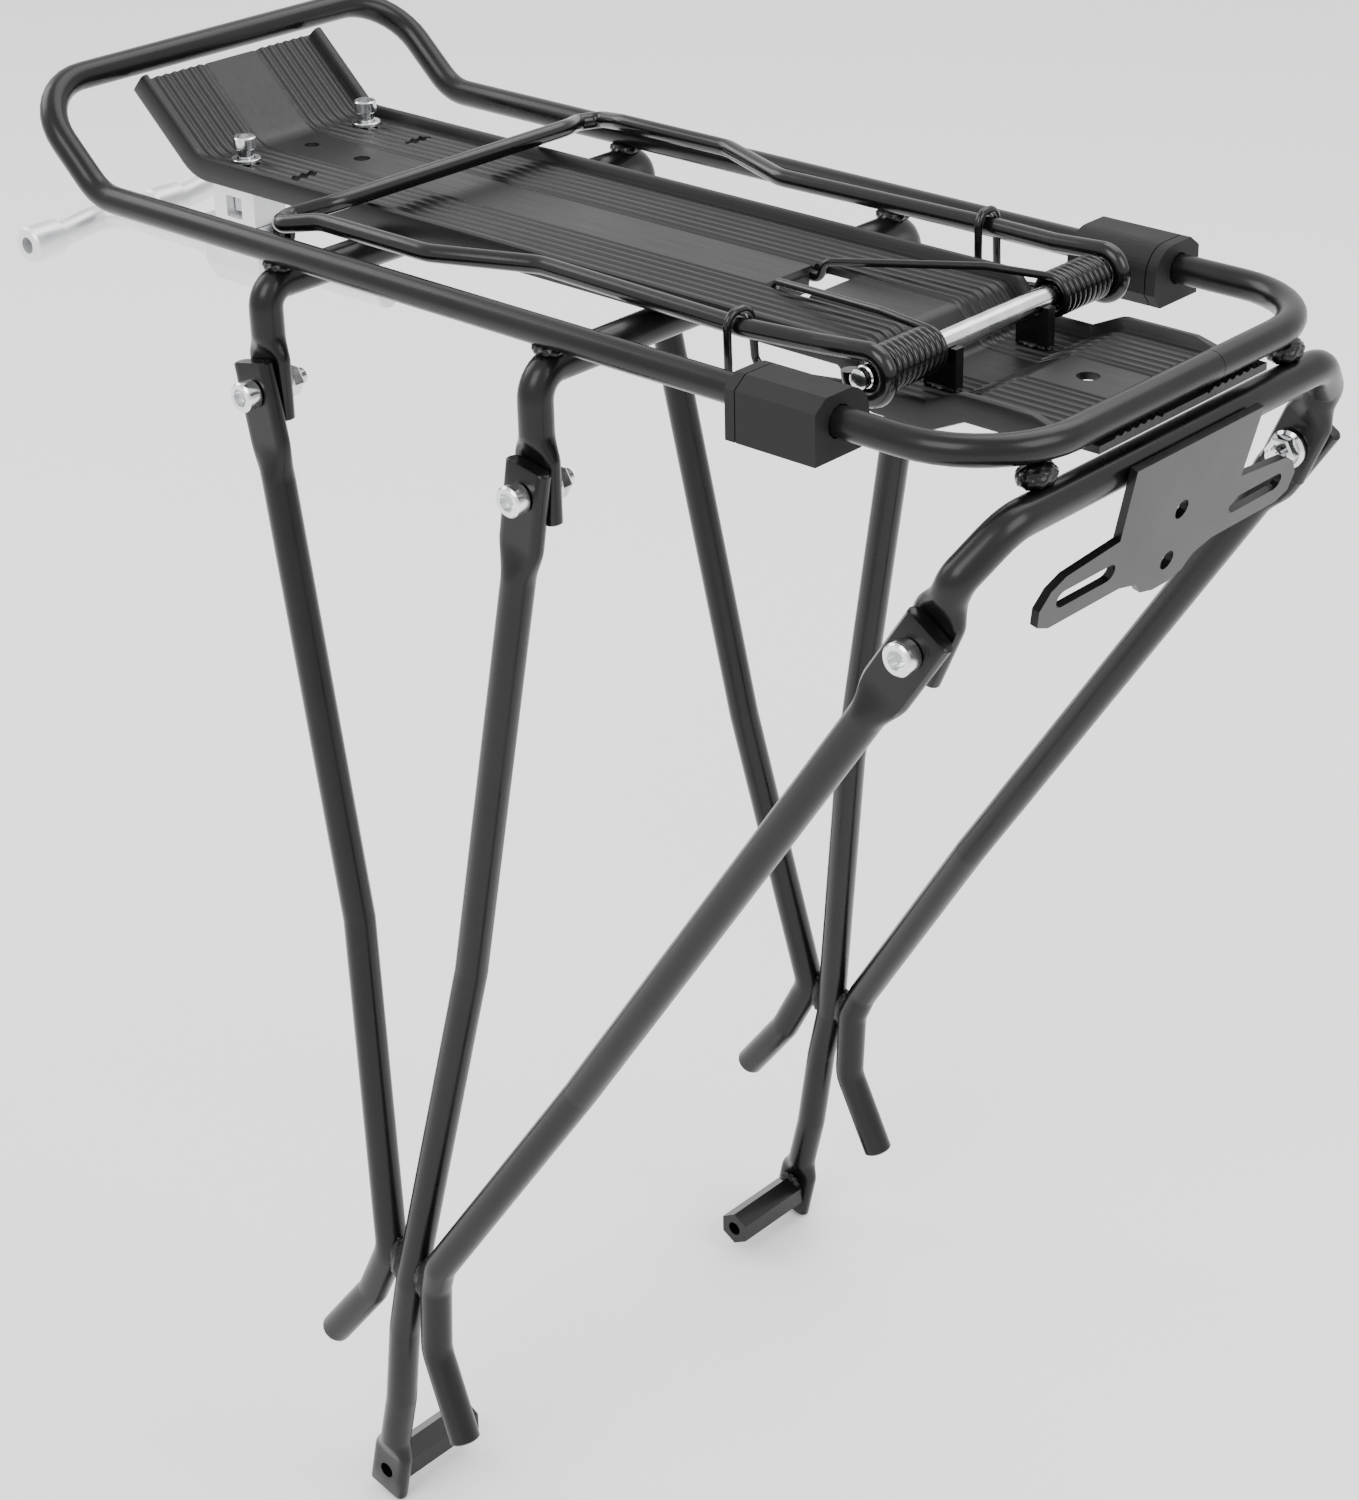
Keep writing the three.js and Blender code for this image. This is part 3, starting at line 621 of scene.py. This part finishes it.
def rib_height(y):
    """How far the deck's top stands over the sheet at a distance from the middle."""
    away = abs(y)
    for middle in RIB_MIDDLES:
        if abs(away - middle) < RIB_HALF_WIDTH:
            share = abs(away - middle) / RIB_HALF_WIDTH
            return RIB_HEIGHT * math.cos(math.pi / 2 * share ** 2)
    if abs(away - GROOVE_MIDDLE) < GROOVE_HALF_WIDTH:
        return -GROOVE_DEPTH
    return 0.0


def deck_section():
    """The section across the deck as (y, height over the sheet's middle) going round it."""
    top = []
    y = -LIP_INNER
    while y <= LIP_INNER + 1e-6:
        top.append((y, DECK_SHEET / 2 + rib_height(y)))
        y += 0.4
    left_lip = [(32.3, 1.6), (32.7, 3.3), (33.3, 3.95), (34.3, 4.1), (35.2, 3.7), (35.5, 2.8),
                (35.5, -2.2), (35.2, -3.1), (34.5, -3.4), (33.6, -3.4), (33.1, -3.0),
                (32.9, -1.6), (32.3, -1.05)]
    right_lip = [(-a, b) for a, b in left_lip][::-1]
    return top + left_lip + right_lip


def deck_plate():
    """The ribbed sheet with its lips, which stop short of the sheet's rear end."""
    data = bmesh.new()
    section = deck_section()
    rings = []
    for at, tangent, _ in deck_line():
        normal = Vector((-tangent.z, 0, tangent.x))
        plain = at.x < LIP_REAR_X
        ring = []
        for y, height in section:
            rise = max(-1.0, min(1.0, height)) if plain and abs(y) > LIP_INNER else height
            ring.append(data.verts.new((at + normal * rise + Vector((0, y, 0))) * MM))
        rings.append(ring)
    skin(data, rings)
    deck = piece("deck", data, None, "black_deck", ["platform_plate"])
    cut_from(deck, deck_cutters())
    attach(deck, "root")


def deck_cutters():
    """The window, the holes along the middle, and each side's screw hole and round-ended slot."""
    window_low = (WINDOW["rear"], -WINDOW["half_width"], DECK_TOP - 5.9)
    window_high = (WINDOW["front"], WINDOW["half_width"], DECK_TOP + 2.6)
    cutters = [box_cutter(window_low, window_high)]
    for x, radius in DECK_HOLES:
        cutters.append(drill("z", radius, 9, (x, 0, DECK_TOP - 3)))
    for side in SIDES.values():
        cutters.append(drill("z", 2.9, 6, (CLAMP_X, side * CLAMP_Y, DECK_TOP)))
        ends = (side * SLOT["inner"], side * SLOT["outer"])
        for end in ends:
            cutters.append(drill("z", SLOT["half"], 6, (SLOT["x"], end, DECK_TOP), 24))
        low = (SLOT["x"] - SLOT["half"], min(ends), DECK_TOP - 5.9)
        high = (SLOT["x"] + SLOT["half"], max(ends), DECK_TOP + 5.9)
        cutters.append(box_cutter(low, high))
    return cutters


def window_tab():
    """The tongue cut from the window, bent down at its front edge."""
    corners = [
        corner(-79.6, 0, DECK_TOP - 1.6),
        corner(-81.6, 0, DECK_TOP - 1.6, 1.2),
        corner(-81.8, 0, DECK_TOP - 6.9),
    ]
    data = bmesh.new()
    rings = []
    for at, tangent, _ in bent_path(corners, 1.2):
        normal = Vector((-tangent.z, 0, tangent.x)) * 0.7
        reach = 8.1 - 0.12 * (DECK_TOP - 1.6 - at.z)
        points = (at + normal, at + normal, at - normal, at - normal)
        offsets = (-reach, reach, reach, -reach)
        rings.append([data.verts.new((p + Vector((0, y, 0))) * MM) for p, y in zip(points, offsets)])
    skin(data, rings)
    piece("window_tab", data, "root", "black_deck")


# ---- clip, axle and springs ----

EYE_STEPS = 27
COIL_STEPS = 306


def clip_wire():
    """The sprung wire: an eye round each end of the axle, joined across the front by a bar."""
    eye = []
    for i in range(EYE_STEPS + 1):
        angle = math.radians(90 + 270 * (EYE_STEPS - i) / EYE_STEPS)
        x = AXLE.x + EYE_RADIUS * math.cos(angle)
        eye.append(corner(x, EYE_Y, AXLE.z + EYE_RADIUS * math.sin(angle), 0))
    left = [
        *eye,
        corner(-132, EYE_Y + 0.5, CLIP_Z + 0.6, 20),
        corner(-110, 50.5, CLIP_Z),
        corner(-38, 48, CLIP_Z),
        corner(-8, 60, CLIP_Z),
        corner(34, 60, CLIP_Z),
        corner(47, 64.5, CLIP_Z - 2.4, 4),
        corner(50, 57, CLIP_Z - 2.4, 4),
        corner(43, 46, CLIP_Z),
    ]
    data = sweep(bent_path([*left, *mirrored(left)], 12), CLIP_WIRE, 18)
    piece("clip", data, "clip", "spring_wire", ["clip_frame"])


def torsion_spring(side_name):
    """A coil on the axle, from a hook in the deck's window to a hook over the clip's wire."""
    side = SIDES[side_name]
    coil = []
    for i in range(COIL_STEPS + 1):
        angle = math.pi / 2 + 2 * math.pi * COIL_TURNS * i / COIL_STEPS
        y = COIL_INNER + (COIL_OUTER - COIL_INNER) * i / COIL_STEPS
        x = AXLE.x + COIL_RADIUS * math.cos(angle)
        coil.append(corner(x, y, AXLE.z + COIL_RADIUS * math.sin(angle), 0))
    under = DECK_TOP - DECK_SHEET - 1.5
    over = CLIP_Z + CLIP_WIRE + SPRING_WIRE + 0.4
    corners = [
        corner(-78, 9.8, under),
        corner(-84.5, 9.8, under),
        corner(-86, 9.8, DECK_TOP + 1.7),
        corner(-130, 21.5, 390.2),
        *coil,
        corner(-115.6, 44.6, 377),
        corner(-109.7, 45.4, 378.5),
        corner(-108.8, 46.2, over, 3.5),
        corner(-108.4, 54.6, over, 3.5),
        corner(-109, 54.8, 377),
    ]
    for c in corners:
        c["at"].y *= side
    data = sweep(bent_path(corners, 3), SPRING_WIRE, 12)
    spring = piece(f"spring_{side_name}", data, None, "spring_wire", [f"torsion_spring_{side_name}"])
    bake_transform(spring)


def axle():
    """The zinc sleeve and the riveted pin through it."""
    rim = AXLE_HALF - 0.3
    tube = [(-AXLE_HALF, 1.7), (-AXLE_HALF, 2.7), (-rim, 3.0), (rim, 3.0), (AXLE_HALF, 2.7),
            (AXLE_HALF, 1.7), (-AXLE_HALF, 1.7)]
    piece("axle_sleeve", turned(tube, "y", AXLE), "root", "zinc", ["axle_tube"])
    under_head = AXLE_HALF + GAP
    head = [(under_head, 2.6), (52.4, 2.6), (53.0, 1.7)]
    far_head = [(-a, r) for a, r in reversed(head)]
    pin = [*far_head, (-under_head, PIN_RADIUS), (under_head, PIN_RADIUS), *head]
    piece("axle_rivet", turned(pin, "y", AXLE), "root", "zinc", ["axle_pin"])


# ---- fasteners ----

def leg_fasteners(which, side_name):
    leg_bolt(which, side_name)
    leg_nut(which, side_name)


def leg_bolt(which, side_name):
    """A socket-head bolt from outside the leg through the stub."""
    side = SIDES[side_name]
    bolt = LEG_BOLT[which]
    seat = bolt.y + STUB_TO_LEG + FLAT_HALF_THICKNESS + GAP
    tip = bolt.y - FLAT_HALF_THICKNESS - BOLT_TIP
    profile = [(tip, 1.9), (tip + 0.5, BOLT_RADIUS), (seat, BOLT_RADIUS), (seat, 4.05),
               (seat + 0.25, 4.25), (seat + 4.1, 4.25), (seat + 4.6, 3.75), (seat + 4.6, 2.5),
               (seat + 2.2, 2.5)]
    profile = [(side * a, r) for a, r in profile]
    centre = (bolt.x, 0, bolt.z)
    name = f"{which}_{side_name}"
    data = turned(profile, "y", centre)
    outer = piece(f"bolt_{name}", data, "root", "zinc", [f"leg_bolt_{name}"])
    socket = [(side * (seat + 1.2), 2.6), (side * (seat + 6), 2.6)]
    cut_from(outer, [turned(socket, "y", centre, flats=6)])


def leg_nut(which, side_name):
    """A flanged hexagon nut against the stub's inner face."""
    side = SIDES[side_name]
    bolt = LEG_BOLT[which]
    centre = (bolt.x, 0, bolt.z)
    face = bolt.y - FLAT_HALF_THICKNESS - GAP
    flange = [(face, 2.7), (face, 5.2), (face - 0.4, 5.4), (face - 1.2, 5.3), (face - 1.9, 4.4)]
    hexagon = [(face - 1.2, 4.6), (face - 5.0, 4.6), (face - 5.6, 4.1), (face - 5.6, 2.7),
               (face - 1.2, 2.7)]
    round_part = [(side * a, r) for a, r in flange]
    hex_part = [(side * a, r) for a, r in hexagon]
    ring = turned(round_part + [round_part[0]], "y", centre)
    flats = turned(hex_part + [hex_part[0]], "y", centre, flats=6, segments=72)
    name = f"{which}_{side_name}"
    piece(f"nut_{name}", merged(ring, flats), "root", "zinc", [f"leg_nut_{name}"])


def deck_screws(side_name):
    """A clamp's socket-head screw and its washer on the deck."""
    side = SIDES[side_name]
    low = DECK_TOP + 4.4
    profile = [(368.4, BOLT_RADIUS), (low, BOLT_RADIUS), (low, 3.2), (low + 0.2, 3.4),
               (low + 3.2, 3.4), (low + 3.6, 3.0), (low + 3.6, 2.1), (low + 1.9, 2.1)]
    centre = (CLAMP_X, side * CLAMP_Y, 0)
    screw = piece(f"screw_{side_name}", turned(profile, "z", centre), "root", "zinc",
                  [f"deck_screw_{side_name}"])
    cut_from(screw, [turned([(low + 1.4, 2.0), (low + 5, 2.0)], "z", centre, flats=6)])
    z = DECK_TOP + GAP
    washer = [(z, 2.7), (z, 4.2), (z + 0.2, 4.4), (z + 1.0, 4.4), (z + 1.2, 4.2), (z + 1.2, 2.7)]
    data = turned(washer + [washer[0]], "z", centre)
    piece(f"washer_{side_name}", data, "root", "zinc", [f"deck_washer_{side_name}"])


# ---- seat-stay rods ----

def stay_rod(side_name):
    """A bent rod and the ferrule crimped on its end."""
    y = SIDES[side_name] * CLAMP_Y
    corners = [
        corner(STAY_REAR_X, y, STAY_Z),
        corner(STAY_FRONT_X, y, STAY_Z),
        corner(STAY_FRONT_X, y + STAY_REACH - FERRULE_LENGTH, STAY_Z - STAY_DROP),
    ]
    body = f"stay_{side_name}"
    data = sweep(bent_path(corners, STAY_BEND), STAY_RADIUS, 24, 0.5)
    piece(f"rod_{side_name}", data, body, "bare_aluminium", [f"stay_rod_{side_name}"])
    start = y + STAY_REACH - FERRULE_LENGTH + GAP
    end = y + STAY_REACH + 0.17
    profile = [(start, 2.6), (start, 4.6), (start + 0.8, 5.5), (end - 0.8, 5.6), (end, 4.9),
               (end, 2.6)]
    centre = (STAY_FRONT_X, 0, STAY_Z - STAY_DROP)
    data = turned(profile + [profile[0]], "y", centre)
    piece(f"ferrule_{side_name}", data, body, "bare_aluminium", [f"stay_ferrule_{side_name}"])


# ---- welds ----

def weld(name, centre, size):
    """A lumpy bead of weld under the paint."""
    data = bmesh.new()
    bmesh.ops.create_icosphere(data, subdivisions=4, radius=1)
    for vert in data.verts:
        p = vert.co.normalized()
        ripple = 1 + 0.07 * math.sin(11 * p.x + 5 * p.z) * math.cos(9 * p.y - 3 * p.x)
        vert.co = Vector((p.x * size[0], p.y * size[1], p.z * size[2])) * ripple
        vert.co = (vert.co + Vector(centre)) * MM
    piece(name, data, "root", "black_paint")


def all_welds():
    for side_name, side in SIDES.items():
        for which in ("front", "middle"):
            x = LEG_BOLT[which].x
            weld(f"weld_{which}_{side_name}", (x, side * 69.2, 378.2), (5.0, 4.6, 2.0))
        weld(f"weld_rear_{side_name}", (-201, side * 52.5, 375.2), (4.4, 6.0, 3.4))
        weld(f"weld_join_front_{side_name}", (-11.6, side * 97.8, 86), (3.6, 3.6, 7.5))
        weld(f"weld_join_rear_{side_name}", (-21.4, side * 97.8, 84), (3.6, 3.6, 7.5))
        weld(f"weld_foot_{side_name}", (0, side * 94.6, 4.2), (4.2, 1.6, 3.0))
        weld(f"weld_bracket_{side_name}", (-208.6, side * 18, 366.2), (1.6, 6.0, 2.4))
        weld(f"weld_saddle_{side_name}", (AXLE.x, side * SADDLE_Y, 374.1), (5.6, 2.4, 0.9))


# ---- CAD nodes kept for their shape ----

def finish_kept_nodes():
    """Rounds the edges of the CAD nodes that still show, and gives them their materials."""
    slots = {part["node"]: part["material_slot"] for part in frame["record"]["subparts"]}
    rounding = {"rail_block": 0.9, "clamp_block": 0.45, "clamp_lower": 0.7, "foot_boss": 0.4,
                "reflector_bracket": 0.5, "axle_saddle": 0.4, "clamp_screw": 0.4, "square_nut": 0.3}
    for name, obj in frame["nodes"].items():
        if obj.hide_render:
            continue
        obj.data.materials.clear()
        obj.data.materials.append(MATERIALS[slots[name]])
        width = next((w for start, w in rounding.items() if name.startswith(start)), 0.3)
        bevel = obj.modifiers.new("rounded_edges", "BEVEL")
        bevel.width = width * MM
        bevel.segments = 3
        bevel.limit_method = "ANGLE"
        bevel.angle_limit = math.radians(40)
        bevel.harden_normals = True
        shade_smooth(obj, 40)


# ---- stage and light ----

def stage_and_light():
    floor_data = bmesh.new()
    low = cad_box[0][2] - 0.0004
    place = Matrix.Translation((0, 0, low))
    bmesh.ops.create_grid(floor_data, x_segments=1, y_segments=1, size=4, matrix=place)
    mesh = bpy.data.meshes.new("floor")
    floor_data.to_mesh(mesh)
    floor_data.free()
    floor = bpy.data.objects.new("floor", mesh)
    bpy.context.collection.objects.link(floor)
    material, tree, shader = new_material("pale_floor", (0.95, 0.95, 0.95), 0.8)
    tree.links.new(spread(tree, noise(tree, 3), 0.75, 0.85), shader.inputs["Roughness"])
    floor.data.materials.append(material)

    world = bpy.data.worlds.new("studio")
    bpy.context.scene.world = world
    world.use_nodes = True
    world.node_tree.nodes["Background"].inputs["Color"].default_value = (1, 1, 1, 1)
    world.node_tree.nodes["Background"].inputs["Strength"].default_value = 1.3

    lamps = [
        ("key", (-0.3, 1.5, 1.7), 1.1, 22),
        ("rear", (-1.6, -0.2, 1.4), 1.0, 16),
        ("front", (1.5, 0.3, 1.3), 1.0, 12),
        ("over", (0.0, -0.9, 1.9), 1.3, 16),
    ]
    for name, at, size, power in lamps:
        light = bpy.data.lights.new(name, "AREA")
        light.size = size
        light.energy = power
        lamp = bpy.data.objects.new(name, light)
        bpy.context.collection.objects.link(lamp)
        lamp.location = at
        lamp.rotation_euler = (Vector((0, 0, 0.25)) - Vector(at)).to_track_quat("-Z", "Y").to_euler()


make_camera()
stage_and_light()

rail_loop()
for which in ("front", "middle"):
    cross_tube(which, corner(LEG_BOLT[which].x, LEG_BOLT[which].y, CROSS_Z, 13), [])
rear_shoulder = corner(RAIL_REAR_X + 5, LEG_BOLT["rear"].y, 357, 14)
rear_turn = corner(RAIL_REAR_X, 66, REAR_CROSS_Z, 14)
cross_tube("rear", rear_shoulder, [rear_turn])
deck_plate()
window_tab()
clip_wire()
axle()
all_welds()
for side_name in SIDES:
    for which in LEG_BOLT:
        leg(which, side_name)
        leg_fasteners(which, side_name)
    torsion_spring(side_name)
    deck_screws(side_name)
    stay_rod(side_name)
finish_kept_nodes()
